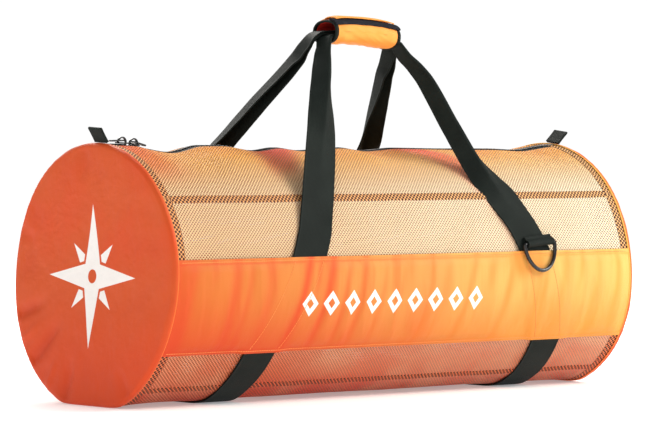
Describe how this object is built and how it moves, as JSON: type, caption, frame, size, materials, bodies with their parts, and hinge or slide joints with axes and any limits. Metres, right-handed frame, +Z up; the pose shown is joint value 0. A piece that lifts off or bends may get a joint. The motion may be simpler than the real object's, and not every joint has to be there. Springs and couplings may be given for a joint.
{
  "type": "mesh gear bag",
  "caption": "Cylindrical zipped mesh duffel with solid cloth ends, a cloth band round each side, webbing handles joined in a wrap grip, and a D-ring.",
  "frame": {"origin": "on the ground under the middle of the whole bag", "axes": "+X along the bag to its right end, +Z up, -Y out of the front, where the D-ring is"},
  "size_m": [0.7796, 0.3404, 0.4803],
  "materials": {
    "mesh": "open knitted mesh",
    "cap": "coated woven cloth",
    "band": "coated woven cloth",
    "wrap": "coated woven cloth",
    "webbing": "ribbed webbing",
    "zipper": "satin",
    "metal": "gloss black"
  },
  "bodies": {
    "bag": {"mesh_top_front": "mesh", "mesh_side_front": "mesh", "mesh_bottom": "mesh", "mesh_side_back": "mesh", "mesh_top_back": "mesh", "end_cap_left": "cap", "end_cap_right": "cap", "side_band_front": "band", "side_band_back": "band", "handle_wrap": "wrap", "wrap_rim_left": "webbing", "wrap_rim_right": "webbing", "wrap_closure": "webbing", "wrap_flap": "wrap", "handle_strap_front": "webbing", "handle_strap_back": "webbing", "strap_under_left": "webbing", "strap_under_right": "webbing", "zipper_tape_front": "zipper", "zipper_tape_back": "zipper", "zipper_coil_left": "zipper", "zipper_coil_right": "zipper", "zipper_slider_left": "metal", "zipper_slider_right": "metal", "end_tab_left": "webbing", "end_tab_right": "webbing", "d_ring_loop": "webbing"},
    "d_ring": {"d_ring": "metal"},
    "zipper_pull_left": {"zipper_pull_left": "metal"},
    "zipper_pull_right": {"zipper_pull_right": "metal"}
  },
  "joints": [
    {"name": "d_ring_swing", "type": "hinge", "parent": "bag", "child": "d_ring", "pos_m": [0.20908, -0.16231, 0.1921], "axis": [-0.9962, -0.0187, -0.0851], "range_deg": [0, 165]},
    {"name": "left_pull_lift", "type": "hinge", "parent": "bag", "child": "zipper_pull_left", "pos_m": [-0.34079, -0.00422, 0.32315], "axis": [-0.0547, 0.9974, 0.0473], "range_deg": [0, 100]},
    {"name": "right_pull_lift", "type": "hinge", "parent": "bag", "child": "zipper_pull_right", "pos_m": [-0.32199, -0.00308, 0.32136], "axis": [0.0542, -0.9977, -0.0412], "range_deg": [0, 100]}
  ]
}
